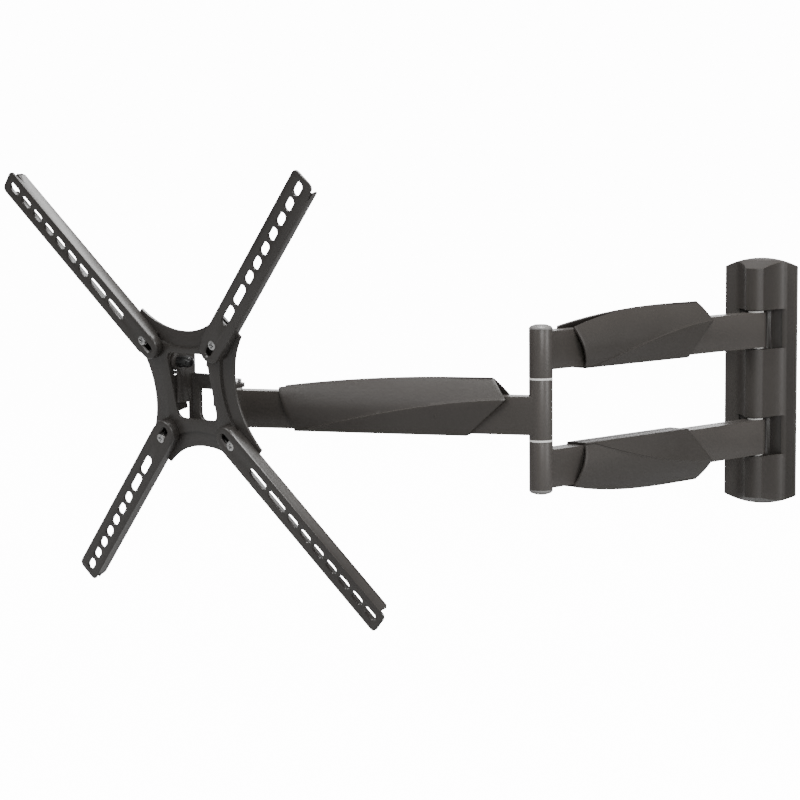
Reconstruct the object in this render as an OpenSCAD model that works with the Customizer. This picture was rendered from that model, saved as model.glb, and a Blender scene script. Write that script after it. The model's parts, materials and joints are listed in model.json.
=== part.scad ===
// Full motion screen mount for a wall: covered wall plate, two parallel first arms,
// one second arm, a swivel yoke, a tilting centre plate and four slotted screen arms.
// Origin: middle of the wall plate's back face. +Y goes into the wall and +Z is up.
// Sizes are in mm. Local frames run +X along an arm, or forward from the head.

/* [Wall plate] */
// Width of the wall plate
plate_w = 76; // [72:1:90]
// Height of the plate's straight sides
plate_h = 242; // [236:2:290]
// Rise of the arched ends above the straight sides
plate_rise = 9; // [6:1:12]
// Thickness of the wall plate
plate_t = 3; // [2.5:0.1:4]
// Distance of the wall pivots from the wall
pivot_y = 28; // [26:0.5:34]
// Distance between the outer wall screw holes
screw_pitch = 200; // [190:2:210]
// Diameter of the wall screw holes
screw_d = 9; // [7:0.5:10]

/* [Arms] */
// Wall pivot to elbow, centre to centre
arm1_len = 335; // [300:1:410]
// Elbow to head pivot, centre to centre
arm2_len = 310; // [280:1:380]
// Height of the arm tubes
tube_h = 36; // [34:0.1:43.5]
// Thickness of the arm tubes
tube_t = 20; // [18:0.5:20]
// Wall thickness of the arm tubes
tube_wall = 2; // [1.5:0.1:2.5]
// Height of the first arms' centre lines above and below the middle
arm_z = 56; // [55:0.5:60]
// Drop of the second arm's centre line below the middle
arm2_drop = 5.5; // [4:0.5:6]
// Outer diameter of the elbow column
column_d = 22.4; // [22:0.1:27]
// Diameter of the elbow shaft
shaft_d = 12; // [10:0.5:13]
// Diameter of the wall pivot pins
pin_d = 8; // [6:0.5:9]

/* [Arm covers] */
// Length of the covers on the first arms
sleeve1_len = 210; // [190:1:225]
// Length of the cover on the second arm
sleeve2_len = 227; // [200:1:235]
// Half thickness of the covers at their widest
sleeve_half = 17; // [15.5:0.5:19]

/* [Head] */
// Head pivot to the front of the screen arms, at the middle
head_depth = 62; // [58:0.5:70]
// Diameter of the head pivot pin
head_pin_d = 10; // [8:0.5:11]
// Width of the yoke over its side flanges
yoke_w = 55.4; // [52:0.2:56]
// Thickness of the yoke's steel
yoke_t = 4; // [3:0.5:4.5]
// Diameter of the tilt bolts
tilt_d = 7; // [6:0.5:8]

/* [Screen arms] */
// Side of the outermost square of screen screw positions
vesa_max = 400; // [380:10:420]
// Side of the square of bolts that hold the screen arms
vesa_min = 100; // [98:1:104]
// Width of a screen arm
chan_w = 26; // [25:0.1:31.5]
// Depth of a screen arm's flanges
chan_depth = 12; // [11:0.5:13]
// Thickness of a screen arm's steel
chan_t = 2; // [1.6:0.1:2.4]
// Width of the slots for the screen's screws
slot_w = 8.5; // [7:0.5:9]
// Travel of a screen arm on its bolt
slide_travel = 11; // [6:0.5:12]

/* [Pose] */
// First arms, turned left of straight out
arm1_yaw = 24; // [0:1:90]
// Second arm, turned left of straight out
arm2_yaw = 85.5; // [40:0.5:130]
// Head, turned left of straight out
head_yaw = 21; // [0:1:60]
// Centre plate, tilted down
tilt_down = 12.5; // [0:0.5:15]

/* [Hidden] */
$fn = 48;
// Radial clearance of a fixed fit and of a running fit
fit = 0.03;
run = 0.05;
// Gap between parts that move past each other
gap = 0.3;

// Wall plate and cover
arch_r = (pow(plate_w / 2, 2) + plate_rise * plate_rise) / (2 * plate_rise);
plate_end = plate_h / 2 + plate_rise;
skin = 2.2;
bell_t = 2.6;
bell_y = pivot_y + 10;
bell_base = plate_w / 2 - 10.5;
bell_front = 9;
bell_end = plate_h / 2 - 3;
window_h = tube_h + 5;
pin_r = pin_d / 2;
screw_r = screw_d / 2;
inner_pitch = 36;

// Wall brackets and bushes
wall_flange = 1.4;
lug_z = tube_h / 2 + wall_flange + run;
lug_t = 4;
lug_r = pin_r + 3;
wall_barrel_r = tube_t / 2;
wall_bush_r = pin_r + 1.5;
clip_t = 1.2;
head_h = 3;

// Elbow
column_r = column_d / 2;
shaft_r = shaft_d / 2;
elbow_flange = 2.3;
mid_half = arm_z / 2;
outer_low = mid_half + elbow_flange + 2 * run;
outer_top = arm_z + tube_h / 2 + 1.5;
elbow_bush_r = shaft_r + 2;
bush_len = 14;
cap_h = 5;

// Head
head_pin_r = head_pin_d / 2;
head_bush_r = head_pin_r + 2;
yoke_gap = tube_h / 2 + elbow_flange + run;
yoke_front = 30;
low_flange = 3;
yoke_top = 35;
tilt_back = 21.5;
tilt_up = 24.5;
tilt_x = head_depth - tilt_back * cos(tilt_down) + tilt_up * sin(tilt_down);
tilt_z = 47.8;
tilt_r = tilt_d / 2;
washer_t = 0.9;
ear_in = yoke_w / 2 + 1;
ear_t = 2.5;
stop_r = 2;
stop_ring = 11.5;
stop_angle = 62;
tilt_more = 2.5;
tilt_less = 17.5;

// Centre plate, seen from the tilt axis
web_x = tilt_back;
rim_x = web_x - chan_depth - gap;
rim_t = 2.5;
step = 2.8;
leg_end = 95;
leg_half = 16;
rib_half = chan_w / 2 - chan_t - 1.5;
edge_near = 58;
corner_a = (leg_end - leg_half) / sqrt(2);
corner_b = (leg_end + leg_half) / sqrt(2);
edge_d = (corner_a * corner_a + corner_b * corner_b - edge_near * edge_near) / (2 * (corner_b - edge_near));
edge_r = edge_d - edge_near;
open_half = ear_in - 0.6;
open_up = 37;
open_down = 30;

// Screen arms
bolt_at = vesa_min / sqrt(2);
outer_at = vesa_max / sqrt(2);
arm_end = outer_at + 14;
slot_r = slot_w / 2;
short_slot = 15.3;
slot_step = 19.3;
long_slot = 25;
bolt_r = 3;
bolt_slot_r = bolt_r + 0.4;
cup_at = bolt_at - slide_travel + 1.3;
bolt_head_r = 4.6;
bolt_flush = 0.1;

function dir(a) = [sin(a), -cos(a), 0];
elbow_pos = [0, -pivot_y, 0] + arm1_len * dir(-arm1_yaw);
head_pos = elbow_pos + arm2_len * dir(-arm2_yaw);

// Frames

module first_frame() {
    translate([0, -pivot_y, 0])
    rotate([0, 0, -arm1_yaw - 90])
    children();
}

module second_frame() {
    translate(elbow_pos)
    rotate([0, 0, -arm2_yaw - 90])
    translate([0, 0, -arm2_drop])
    children();
}

module head_frame() {
    translate(head_pos)
    rotate([0, 0, -head_yaw - 90])
    translate([0, 0, -arm2_drop])
    children();
}

module tilt_frame() {
    head_frame()
    translate([tilt_x, 0, tilt_z])
    rotate([0, tilt_down, 0])
    children();
}

// The plane of the screen arms: +X out along one diagonal, +Z forward, zero at the middle
module diagonal_frame(right, up) {
    tilt_frame()
    translate([0, 0, -tilt_up])
    rotate([0, 90, 0])
    rotate([0, 0, right > 0 ? (up > 0 ? 135 : 45) : (up > 0 ? -135 : -45)])
    children();
}

// Helpers

module rod_x(y, z, x0, x1, r) {
    translate([x0, y, z])
    rotate([0, 90, 0])
    cylinder(r = r, h = x1 - x0);
}

module rod_y(x, z, y0, y1, r) {
    translate([x, y1, z])
    rotate([90, 0, 0])
    cylinder(r = r, h = y1 - y0);
}

module rod_z(x, y, z0, z1, r) {
    translate([x, y, z0])
    cylinder(r = r, h = z1 - z0);
}

module block(x0, x1, y0, y1, z0, z1) {
    translate([x0, y0, z0])
    cube([x1 - x0, y1 - y0, z1 - z0]);
}

// Flanged bush: the body goes down from z = 0 and the flange lies above
module bush(body_r, flange_r, bore_r, flange_t, len) {
    difference() {
        union() {
            rod_z(0, 0, -len, 0.01, body_r);
            rod_z(0, 0, 0, flange_t, flange_r);
        }
        rod_z(0, 0, -len - 1, flange_t + 1, bore_r);
    }
}

module arched(y0, y1, inset) {
    half_w = plate_w / 2 - inset;
    block(-half_w, half_w, y0, y1, -plate_h / 2 + inset, plate_h / 2 - inset);
    for (s = [-1, 1])
        intersection() {
            block(-half_w, half_w, y0, y1, -plate_end, plate_end);
            rod_y(0, s * (plate_end - arch_r), y0, y1, arch_r - inset);
        }
}

// Wall body

module wall_plate() {
    color([0.2, 0.19, 0.18])
    difference() {
        arched(-plate_t, 0, 0);
        for (z = [-screw_pitch / 2, -inner_pitch / 2, inner_pitch / 2, screw_pitch / 2])
            rod_y(0, z, -plate_t - 1, 1, screw_r);
    }
}

module bell(half_base, half_front, y_front, z_front, z_back, inset) {
    intersection() {
        translate([0, 0, -plate_end])
        linear_extrude(2 * plate_end)
        polygon([[-half_base, -plate_t + inset], [-half_base, -plate_t - skin],
            [-half_front, -y_front], [half_front, -y_front],
            [half_base, -plate_t - skin], [half_base, -plate_t + inset]]);
        translate([-plate_w, 0, 0])
        rotate([90, 0, 90])
        linear_extrude(2 * plate_w)
        polygon([[1, -z_back], [-plate_t, -z_back], [-y_front, -z_front],
            [-y_front, z_front], [-plate_t, z_back], [1, z_back]]);
        arched(-y_front - 1, 1, inset * 2);
    }
}

module wall_cover() {
    color([0.16, 0.15, 0.14])
    difference() {
        union() {
            arched(-plate_t - skin, -plate_t, 0);
            bell(bell_base, bell_front, bell_y, bell_end, plate_end - 1, 0);
        }
        bell(bell_base - bell_t, bell_front - bell_t * 0.6, bell_y - bell_t, bell_end - bell_t,
            plate_end - 1 - bell_t, 1);
        for (s = [-1, 1])
            block(-plate_w, plate_w, -bell_y - 5, -plate_t - skin,
                s * arm_z - window_h / 2, s * arm_z + window_h / 2);
    }
}

module bracket() {
    difference() {
        union() {
            block(-11, 11, -plate_t - 4, -plate_t, -lug_z - lug_t, lug_z + lug_t);
            for (s = [-1, 1])
                translate([0, 0, s * (lug_z + lug_t / 2)]) {
                    block(-lug_r, lug_r, -pivot_y, -plate_t - 1, -lug_t / 2, lug_t / 2);
                    rod_z(0, -pivot_y, -lug_t / 2, lug_t / 2, lug_r);
                }
        }
        rod_z(0, -pivot_y, -lug_z - lug_t - 1, lug_z + lug_t + 1, pin_r + fit);
    }
}

module upper_bracket() {
    color([0.3, 0.3, 0.31])
    translate([0, 0, arm_z])
    bracket();
}

module lower_bracket() {
    color([0.3, 0.3, 0.31])
    translate([0, 0, -arm_z])
    bracket();
}

module wall_pins() {
    color([0.75, 0.75, 0.77])
    for (s = [-1, 1])
        translate([0, -pivot_y, s * arm_z]) {
            rod_z(0, 0, -lug_z - lug_t - 3.4, lug_z + lug_t, pin_r);
            rod_z(0, 0, lug_z + lug_t, lug_z + lug_t + head_h, lug_r - 0.8);
        }
}

module wall_clips() {
    color([0.6, 0.6, 0.62])
    for (s = [-1, 1])
        translate([0, -pivot_y, s * arm_z - lug_z - lug_t - clip_t - 0.1])
        difference() {
            cylinder(r = lug_r - 0.8, h = clip_t);
            translate([0, 0, -1])
            cylinder(r = pin_r + fit, h = clip_t + 2);
        }
}

// First arm body

module tube(len, z0, z1) {
    difference() {
        block(0, len, -tube_t / 2, tube_t / 2, -tube_h / 2, tube_h / 2);
        block(wall_barrel_r + 1, len - column_r - 1, -tube_t / 2 + tube_wall, tube_t / 2 - tube_wall,
            -tube_h / 2 + tube_wall, tube_h / 2 - tube_wall);
    }
}

module first_arm() {
    difference() {
        union() {
            tube(arm1_len);
            rod_z(0, 0, -tube_h / 2, tube_h / 2, wall_barrel_r);
            rod_z(arm1_len, 0, outer_low - arm_z, outer_top - arm_z, column_r);
        }
        rod_z(0, 0, -tube_h, tube_h, wall_bush_r + fit);
        rod_z(arm1_len, 0, -arm_z, arm_z, shaft_r + fit);
    }
}

module upper_arm() {
    color([0.22, 0.21, 0.2])
    first_frame()
    translate([0, 0, arm_z])
    first_arm();
}

module lower_arm() {
    color([0.22, 0.21, 0.2])
    first_frame()
    translate([0, 0, -arm_z])
    mirror([0, 0, 1])
    first_arm();
}

module wall_bushes() {
    color([0.88, 0.88, 0.86])
    first_frame()
    for (s = [-1, 1], t = [0, 1])
        translate([0, 0, s * arm_z])
        mirror([0, 0, t])
        translate([0, 0, tube_h / 2])
        bush(wall_bush_r, lug_r + 1, pin_r + run, wall_flange, bush_len);
}

module elbow_shaft() {
    color([0.72, 0.72, 0.74])
    first_frame()
    rod_z(arm1_len, 0, -outer_top, outer_top, shaft_r);
}

module elbow_caps() {
    color([0.14, 0.13, 0.13])
    first_frame()
    for (t = [0, 1])
        mirror([0, 0, t])
        translate([arm1_len, 0, outer_top])
        rotate_extrude()
        polygon([[0, 0], [column_r, 0], [column_r, 1.6], [column_r - 1.6, 3.2],
            [column_r * 0.5, cap_h - 0.4], [0, cap_h]]);
}

// One half of an arm cover: profile along the arm, section across it, hollow inside
module sleeve_half(len) {
    top = tube_h / 2 + 13;
    low = -tube_h / 2 - 2.3;
    difference() {
        intersection() {
            translate([0, 20, 0])
            rotate([90, 0, 0])
            linear_extrude(20 - gap / 2)
            polygon([[0, 14], [12, top], [0.45 * len, top], [0.75 * len, top - 3],
                [len, top - 11], [len - 14, low], [40, low], [36, low + 3]]);
            rotate([90, 0, 90])
            linear_extrude(len)
            polygon([[3.5, top + 1], [9, top + 1], [sleeve_half - 4, top - 5], [sleeve_half, 8],
                [sleeve_half, -3], [sleeve_half - 3, -15], [tube_t / 2 + 1.5, low], [0, low],
                [0, -15], [3.5, -15]]);
        }
        intersection() {
            translate([0, 20, 0])
            rotate([90, 0, 0])
            linear_extrude(30)
            polygon([[-20, top - 2], [0.45 * len, top - 2], [0.75 * len, top - 5],
                [len, top - 13], [len + 20, top - 21], [len + 20, low + 2], [-20, low + 2]]);
            translate([-1, 0, 0])
            rotate([90, 0, 90])
            linear_extrude(len + 2)
            polygon([[-1, top], [8, top], [sleeve_half - 6, top - 6], [sleeve_half - 2, 7.6],
                [sleeve_half - 2, -2.6], [sleeve_half - 5, -14], [tube_t / 2 + gap, low + 2],
                [-1, low + 2]]);
        }
    }
    for (x = [0.3, 0.78])
        block(x * len, x * len + 2, tube_t / 2 + 0.05, sleeve_half - 1.5, -3, 7.5);
}

module upper_cover_front() {
    color([0.17, 0.16, 0.15])
    first_frame()
    translate([90, 0, arm_z])
    sleeve_half(sleeve1_len);
}

module upper_cover_back() {
    color([0.17, 0.16, 0.15])
    first_frame()
    translate([90, 0, arm_z])
    mirror([0, 1, 0])
    sleeve_half(sleeve1_len);
}

module lower_cover_front() {
    color([0.17, 0.16, 0.15])
    first_frame()
    translate([90, 0, -arm_z])
    mirror([0, 0, 1])
    sleeve_half(sleeve1_len);
}

module lower_cover_back() {
    color([0.17, 0.16, 0.15])
    first_frame()
    translate([90, 0, -arm_z])
    mirror([0, 0, 1])
    mirror([0, 1, 0])
    sleeve_half(sleeve1_len);
}

// Second arm body

module second_arm() {
    color([0.22, 0.21, 0.2])
    second_frame()
    difference() {
        union() {
            translate([arm2_len, 0, 0])
            rotate([0, 0, 180])
            tube(arm2_len);
            rod_z(0, 0, arm2_drop - mid_half, arm2_drop + mid_half, column_r);
            rod_z(arm2_len, 0, -tube_h / 2, tube_h / 2, wall_barrel_r);
        }
        rod_z(0, 0, -arm_z, arm_z, elbow_bush_r + fit);
        rod_z(arm2_len, 0, -tube_h, tube_h, head_bush_r + fit);
    }
}

module second_cover_front() {
    color([0.17, 0.16, 0.15])
    second_frame()
    translate([31, 0, 0])
    sleeve_half(sleeve2_len);
}

module second_cover_back() {
    color([0.17, 0.16, 0.15])
    second_frame()
    translate([31, 0, 0])
    mirror([0, 1, 0])
    sleeve_half(sleeve2_len);
}

module elbow_bushes() {
    color([0.88, 0.88, 0.86])
    second_frame()
    for (t = [0, 1])
        translate([0, 0, arm2_drop])
        mirror([0, 0, t])
        translate([0, 0, mid_half])
        bush(elbow_bush_r, column_r - 0.1, shaft_r + run, elbow_flange, bush_len);
}

module head_bushes() {
    color([0.88, 0.88, 0.86])
    second_frame()
    for (t = [0, 1])
        mirror([0, 0, t])
        translate([arm2_len, 0, tube_h / 2])
        bush(head_bush_r, wall_barrel_r - 0.1, head_pin_r + run, elbow_flange, bush_len);
}

// Head body

module yoke_flange(y0, y1) {
    difference() {
        union() {
            block(yoke_front - yoke_t, tilt_x + 2, y0, y1, 7, tilt_z);
            block(yoke_front - yoke_t, tilt_x, y0, y1, tilt_z - 1, tilt_z + 8);
            rod_y(tilt_x, tilt_z, y0, y1, 9);
            block(yoke_front - yoke_t, yoke_front + low_flange, y0, y1, -yoke_gap - yoke_t, 8);
        }
        rod_y(tilt_x, tilt_z, y0 - 1, y1 + 1, tilt_r + run);
    }
}

module head_yoke() {
    half = yoke_w / 2;
    win = 15;
    color([0.2, 0.19, 0.18])
    head_frame()
    difference() {
        union() {
            block(yoke_front - yoke_t, yoke_front, -half, half, -yoke_gap - yoke_t, yoke_top);
            for (s = [-1, 1])
                yoke_flange(s > 0 ? half - 3 : -half, s > 0 ? half : -half + 3);
            for (s = [-1, 1])
                translate([0, 0, s * (yoke_gap + yoke_t / 2)]) {
                    block(0, yoke_front - 1, -12, 12, -yoke_t / 2, yoke_t / 2);
                    rod_z(0, 0, -yoke_t / 2, yoke_t / 2, 12);
                }
        }
        rod_z(0, 0, -40, 40, head_pin_r + fit);
        block(yoke_front - yoke_t - 1, yoke_front + 1, -win, win, -3, yoke_gap);
        block(yoke_front - yoke_t - 1, yoke_front + 1, -win + 8, win - 8, -11, 0);
        for (s = [-1, 1])
            rod_x(s * (win - 8), -3, yoke_front - yoke_t - 1, yoke_front + 1, 8);
    }
}

module head_pin() {
    color([0.72, 0.72, 0.74])
    head_frame() {
        rod_z(0, 0, -yoke_gap - yoke_t - 9, yoke_gap + yoke_t, head_pin_r);
        rod_z(0, 0, yoke_gap + yoke_t, yoke_gap + yoke_t + 4, head_pin_r + 4);
    }
}

module head_nut() {
    color([0.6, 0.6, 0.62])
    head_frame()
    translate([0, 0, -yoke_gap - yoke_t - 7.1])
    difference() {
        cylinder(r = head_pin_r + 4.4, h = 7, $fn = 6);
        translate([0, 0, -1])
        cylinder(r = head_pin_r + fit, h = 9);
    }
}

module stop_pins() {
    a = stop_angle + tilt_down;
    color([0.6, 0.6, 0.62])
    head_frame()
    for (s = [-1, 1])
        rod_y(tilt_x + stop_ring * cos(a), tilt_z - stop_ring * sin(a),
            s > 0 ? yoke_w / 2 : -ear_in - ear_t - 1, s > 0 ? ear_in + ear_t + 1 : -yoke_w / 2, stop_r);
}

// Tilt body

module plate_shape(x0, x1, inset, half_leg, end) {
    a = (end - half_leg) / sqrt(2);
    b = (end + half_leg) / sqrt(2);
    difference() {
        translate([x0, 0, 0])
        rotate([90, 0, 90])
        linear_extrude(x1 - x0)
        polygon([[a, b], [b, a], [b, -a], [a, -b], [-a, -b], [-b, -a], [-b, a], [-a, b]]);
        for (q = [0, 1, 2, 3])
            rotate([90 * q, 0, 0])
            translate([x0 - 1, 0, edge_d])
            rotate([0, 90, 0])
            cylinder(r = edge_r + inset, h = x1 - x0 + 2, $fn = 96);
    }
}

module rib_cross(x0, x1, half, from, end) {
    for (q = [45, 135, 225, 315])
        rotate([q, 0, 0])
        block(x0, x1, from, end, -half, half);
}

module ear(y0, y1) {
    front = rim_x + step - rim_t + 0.6;
    difference() {
        union() {
            block(-3, front, y0, y1, -tilt_up - open_down + 6, 9);
            rod_y(0, 0, y0, y1, 16);
        }
        block(front, 30, y0 - 1, y1 + 1, -20, 20);
        rod_y(0, 0, y0 - 1, y1 + 1, tilt_r + run);
        for (a = [stop_angle - tilt_more - 0.5 : 2.6 : stop_angle + tilt_less + 0.6])
            rod_y(stop_ring * cos(a), -stop_ring * sin(a), y0 - 1, y1 + 1, stop_r + 0.2);
    }
}

module centre_plate() {
    back = rim_x - rim_t;
    color([0.2, 0.19, 0.18])
    tilt_frame() {
        translate([0, 0, -tilt_up])
        difference() {
            union() {
                plate_shape(back, rim_x, 0, leg_half, leg_end);
                plate_shape(back + 0.5, rim_x + step, 16, leg_half, 80);
                rib_cross(back + 0.5, rim_x + step - 0.2, rib_half, 56, leg_end - 2);
            }
            plate_shape(back - 1, rim_x + step - rim_t, 18.5, leg_half - 2.5, 56);
            block(0, 30, -open_half, open_half, -open_down + 8, open_up - 8);
            block(0, 30, -open_half + 8, open_half - 8, -open_down, open_up);
            for (s = [-1, 1], z = [-open_down + 8, open_up - 8])
                rod_x(s * (open_half - 8), z, 0, 30, 8);
            for (s = [-1, 1], t = [-1, 1])
                rod_x(s * vesa_min / 2, t * vesa_min / 2, 0, 30, bolt_r + fit);
        }
        for (s = [-1, 1])
            ear(s > 0 ? ear_in : -ear_in - ear_t, s > 0 ? ear_in + ear_t : -ear_in);
    }
}

module tilt_bolt() {
    color([0.25, 0.25, 0.26])
    tilt_frame() {
        rod_y(0, 0, -ear_in - ear_t, -yoke_w / 2 + 17, tilt_r);
        rod_y(0, 0, -ear_in - ear_t - 4, -ear_in - ear_t, tilt_r + 3);
    }
}

module tilt_nut() {
    inner = -yoke_w / 2 + 3 + 0.1;
    color([0.25, 0.25, 0.26])
    tilt_frame()
    difference() {
        union() {
            translate([0, inner + 14, 0])
            rotate([90, 0, 0])
            cylinder(r = tilt_r + 2.4, h = 14, $fn = 6);
            translate([0, inner + 14, 0])
            rotate([-90, 0, 0])
            rotate_extrude()
            polygon([[0, -1], [5, -1], [5, 0.6], [4.2, 2.4], [2.4, 3.7], [0, 4.2]]);
        }
        rod_y(0, 0, inner - 1, -yoke_w / 2 + 17 + gap, tilt_r + fit);
    }
}

module pivot_bolt() {
    color([0.6, 0.6, 0.62])
    tilt_frame() {
        rod_y(0, 0, yoke_w / 2 - 9, ear_in + ear_t, tilt_r);
        rod_y(0, 0, ear_in + ear_t, ear_in + ear_t + 4, tilt_r + 3);
    }
}

module pivot_nut() {
    color([0.6, 0.6, 0.62])
    tilt_frame()
    difference() {
        translate([0, yoke_w / 2 - 3.1, 0])
        rotate([90, 0, 0])
        cylinder(r = tilt_r + 2.8, h = 5, $fn = 6);
        rod_y(0, 0, 0, yoke_w / 2, tilt_r + fit);
    }
}

module tilt_washers() {
    color([0.88, 0.88, 0.86])
    tilt_frame()
    for (s = [-1, 1])
        translate([0, s * (yoke_w / 2 + 0.5), 0])
        difference() {
            rod_y(0, 0, -washer_t / 2, washer_t / 2, 7);
            rod_y(0, 0, -washer_t, washer_t, tilt_r + run);
        }
}

module arm_bolts() {
    color([0.8, 0.8, 0.82])
    for (s = [-1, 1], t = [-1, 1])
        diagonal_frame(s, t) {
            rod_z(bolt_at, 0, rim_x - rim_t, web_x - bolt_flush, bolt_r);
            translate([bolt_at, 0, web_x - bolt_flush - bolt_head_r + bolt_r])
            cylinder(r1 = bolt_r, r2 = bolt_head_r, h = bolt_head_r - bolt_r);
        }
}

module arm_spacers() {
    color([0.5, 0.5, 0.52])
    for (s = [-1, 1], t = [-1, 1])
        diagonal_frame(s, t)
        difference() {
            rod_z(bolt_at, 0, rim_x + step, web_x - chan_t - gap, 5.4);
            rod_z(bolt_at, 0, rim_x, web_x, bolt_r + fit);
        }
}

// One screen arm: a channel with a cupped inner end, slots along its web and open flanges
module screen_slot(at, len, r) {
    for (s = [-1, 1])
        rod_z(at + s * (len / 2 - r), 0, web_x - 20, web_x + 1, r);
    block(at - len / 2 + r, at + len / 2 - r, -r, r, web_x - 20, web_x + 1);
}

// The bolt's slot, with a 45 degree countersink along its rim
module sunk_slot(at, len, low_r, top_r) {
    depth = top_r - low_r;
    over = 0.5;
    screen_slot(at, len + 2 * low_r, low_r);
    for (s = [-1, 1])
        translate([at + s * len / 2, 0, web_x - depth])
        cylinder(r1 = low_r, r2 = top_r + over, h = depth + over);
    translate([at - len / 2, 0, web_x])
    rotate([90, 0, 90])
    linear_extrude(len)
    polygon([[-low_r, -depth], [low_r, -depth], [top_r + over, over], [-top_r - over, over]]);
}

module channel_solid(inset, x0, x1) {
    half = chan_w / 2 - inset;
    cup_z = rim_x + step + gap;
    top = web_x - inset;
    cup = cup_at + chan_w / 2 - 11.6;
    rod_z(cup, 0, cup_z, top, half);
    block(cup, x1, -half, half, cup_z, top);
    block(cup + 2, x1, -half, half, x0, top);
}

module screen_arm() {
    half = chan_w / 2;
    color([0.18, 0.17, 0.16])
    difference() {
        channel_solid(0, rim_x + gap, arm_end);
        difference() {
            channel_solid(chan_t, rim_x - 1, arm_end + 1);
            block(0, 400, -half, half, web_x - chan_t, web_x + 1);
        }
        block(0, 400, -half + chan_t, half - chan_t, 0, rim_x + step + gap + 0.01);
        block(arm_end - 7, arm_end + 1, -half - 1, half + 1, 0, web_x - 5);
        for (s = [-1, 1])
            translate([arm_end, s * half, 0])
            rotate([0, 0, 45])
            block(-4, 4, -4, 4, 0, 40);
        sunk_slot(bolt_at - slide_travel / 2, slide_travel, bolt_slot_r, bolt_head_r + gap);
        for (i = [0 : 6])
            screen_slot(outer_at - i * slot_step, short_slot, slot_r);
        for (i = [0, 1])
            screen_slot(outer_at - 140.3 - i * 29, long_slot, slot_r);
    }
}

module screen_arm_tl() {
    diagonal_frame(-1, 1) screen_arm();
}

module screen_arm_tr() {
    diagonal_frame(1, 1) screen_arm();
}

module screen_arm_bl() {
    diagonal_frame(-1, -1) screen_arm();
}

module screen_arm_br() {
    diagonal_frame(1, -1) screen_arm();
}

wall_plate();
wall_cover();
upper_bracket();
lower_bracket();
wall_pins();
wall_clips();
wall_bushes();
upper_arm();
lower_arm();
upper_cover_front();
upper_cover_back();
lower_cover_front();
lower_cover_back();
elbow_shaft();
elbow_caps();
second_arm();
second_cover_front();
second_cover_back();
elbow_bushes();
head_bushes();
head_yoke();
head_pin();
head_nut();
centre_plate();
tilt_bolt();
tilt_nut();
pivot_bolt();
pivot_nut();
tilt_washers();
stop_pins();
arm_bolts();
arm_spacers();
screen_arm_tl();
screen_arm_tr();
screen_arm_bl();
screen_arm_br();
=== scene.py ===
import json
import math
import bmesh
import bpy
from mathutils import Matrix, Vector


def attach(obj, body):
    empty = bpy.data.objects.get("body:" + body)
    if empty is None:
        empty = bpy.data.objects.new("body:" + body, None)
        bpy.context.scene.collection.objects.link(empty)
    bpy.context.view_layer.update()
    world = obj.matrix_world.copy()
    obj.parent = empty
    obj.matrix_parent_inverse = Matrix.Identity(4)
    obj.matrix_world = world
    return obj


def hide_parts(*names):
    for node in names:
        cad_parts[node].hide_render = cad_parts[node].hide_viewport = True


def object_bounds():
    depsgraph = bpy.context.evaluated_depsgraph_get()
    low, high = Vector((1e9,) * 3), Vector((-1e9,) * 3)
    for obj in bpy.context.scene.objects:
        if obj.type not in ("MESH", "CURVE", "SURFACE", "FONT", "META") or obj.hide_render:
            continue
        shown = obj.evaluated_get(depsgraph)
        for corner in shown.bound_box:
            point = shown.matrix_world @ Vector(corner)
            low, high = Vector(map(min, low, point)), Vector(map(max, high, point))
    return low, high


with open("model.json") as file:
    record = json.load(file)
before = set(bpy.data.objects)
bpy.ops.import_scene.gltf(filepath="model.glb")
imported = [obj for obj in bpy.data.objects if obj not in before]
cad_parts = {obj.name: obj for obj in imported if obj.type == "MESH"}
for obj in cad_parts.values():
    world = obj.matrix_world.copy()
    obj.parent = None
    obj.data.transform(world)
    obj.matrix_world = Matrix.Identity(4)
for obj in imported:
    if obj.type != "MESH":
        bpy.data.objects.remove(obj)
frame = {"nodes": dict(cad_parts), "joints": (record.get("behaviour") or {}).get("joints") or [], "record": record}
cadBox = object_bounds()
mm = 0.001
print("frame loaded, nodes:", len(frame["nodes"]))

# camera and the room

view = {
    "place": (0.4927, -2.27319, 0.22564),
    "yaw": 21.687,  # turned left of straight at the wall
    "pitch": -6.047,
    "roll": -0.494,
    "lens": 98.11,
    "sensor": 36.0,
    "clip": (0.05, 60.0),
}


def makeCamera():
    data = bpy.data.cameras.new("camera")
    camera = bpy.data.objects.new("camera", data)
    bpy.context.scene.collection.objects.link(camera)
    yaw, pitch, roll = (math.radians(view[k]) for k in ("yaw", "pitch", "roll"))
    level = Vector((-math.sin(yaw), math.cos(yaw), 0.0))
    look = level * math.cos(pitch) + Vector((0.0, 0.0, math.sin(pitch)))
    right = Vector((math.cos(yaw), math.sin(yaw), 0.0))
    up = right.cross(look)
    rightRolled = right * math.cos(roll) + up * math.sin(roll)
    upRolled = up * math.cos(roll) - right * math.sin(roll)
    axes = Matrix((rightRolled, upRolled, -look)).transposed()
    camera.matrix_world = Matrix.Translation(view["place"]) @ axes.to_4x4()
    data.lens = view["lens"]
    data.sensor_width = view["sensor"]
    data.clip_start, data.clip_end = view["clip"]
    bpy.context.scene.camera = camera


# each lamp: place, the point it faces, size in metres, power in watts
lamps = {
    "key": ((-1.4, -1.9, 1.5), (-0.25, -0.25, 0.0), (1.2, 1.2), 31.0),
    "front": ((1.1, -2.4, 0.7), (-0.3, -0.3, 0.0), (1.0, 1.0), 30.0),
    "top": ((-0.1, -0.2, 1.7), (-0.2, -0.25, 0.0), (1.8, 0.6), 50.0),
    "side": ((1.9, -0.6, 0.5), (-0.1, -0.2, 0.0), (0.9, 1.5), 24.0),
    "back": ((-0.6, 1.7, 0.3), (-0.3, -0.25, 0.0), (3.2, 0.4), 16.0),
}

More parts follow.
